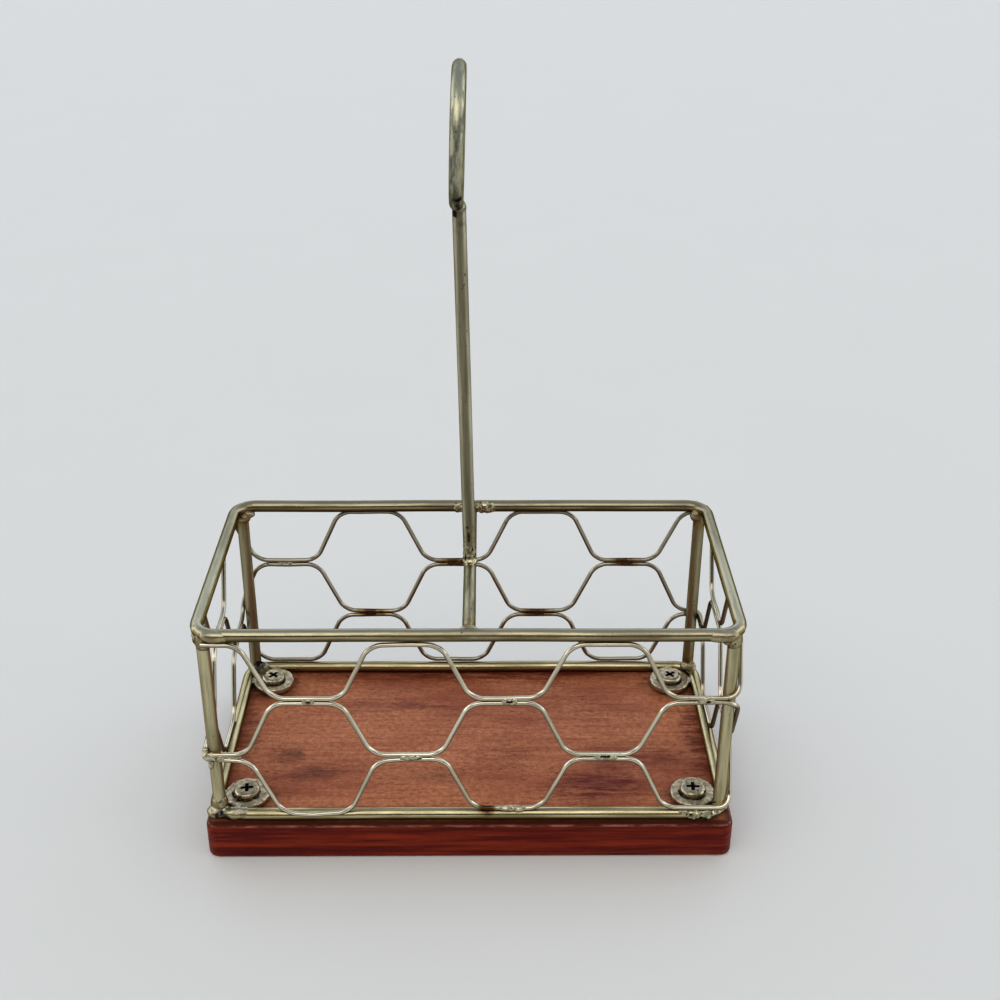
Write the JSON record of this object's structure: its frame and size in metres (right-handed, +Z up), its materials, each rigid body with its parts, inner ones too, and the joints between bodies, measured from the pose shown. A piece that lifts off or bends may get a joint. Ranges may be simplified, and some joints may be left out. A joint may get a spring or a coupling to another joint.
{
  "type": "sugar packet holder",
  "caption": "Open wire basket on a small stained wooden board, with a hexagonal wire mesh round its sides and an upright ring handle, for sugar packets on a table.",
  "frame": {"origin": "centre of the board's underside", "axes": "+X along the long front, to the right; +Y to the back; +Z up, along the handle"},
  "size_m": [0.133, 0.0716, 0.1901],
  "materials": {
    "stained_wood": "red-brown stain with a thin satin varnish",
    "frame_wire": "plain steel wire with a faint yellow-green tarnish",
    "mesh_wire": "plain thin steel wire with a faint yellow tarnish",
    "fastener": "dull grey zinc plate",
    "weld": "rough weld metal, darkened by heat"
  },
  "bodies": {
    "root": {"base_board": "stained_wood", "bottom_ring": "frame_wire", "top_ring": "frame_wire", "post_front_left": "frame_wire", "post_front_right": "frame_wire", "post_back_left": "frame_wire", "post_back_right": "frame_wire", "cross_bar": "frame_wire", "handle_rod": "frame_wire", "handle_ring": "frame_wire", "mesh_upper": "mesh_wire", "mesh_middle": "mesh_wire", "mesh_lower": "mesh_wire", "washer_front_left": "fastener", "washer_front_right": "fastener", "washer_back_left": "fastener", "washer_back_right": "fastener", "screw_front_left": "fastener", "screw_front_right": "fastener", "screw_back_left": "fastener", "screw_back_right": "fastener", "weld_rod_foot": "weld", "weld_rod_head": "weld", "weld_bar_front": "weld", "weld_bar_back": "weld", "weld_low_front_left": "weld", "weld_low_front_right": "weld", "weld_low_back_left": "weld", "weld_low_back_right": "weld", "weld_top_front_left": "weld", "weld_top_front_right": "weld", "weld_top_back_left": "weld", "weld_top_back_right": "weld"}
  },
  "joints": []
}
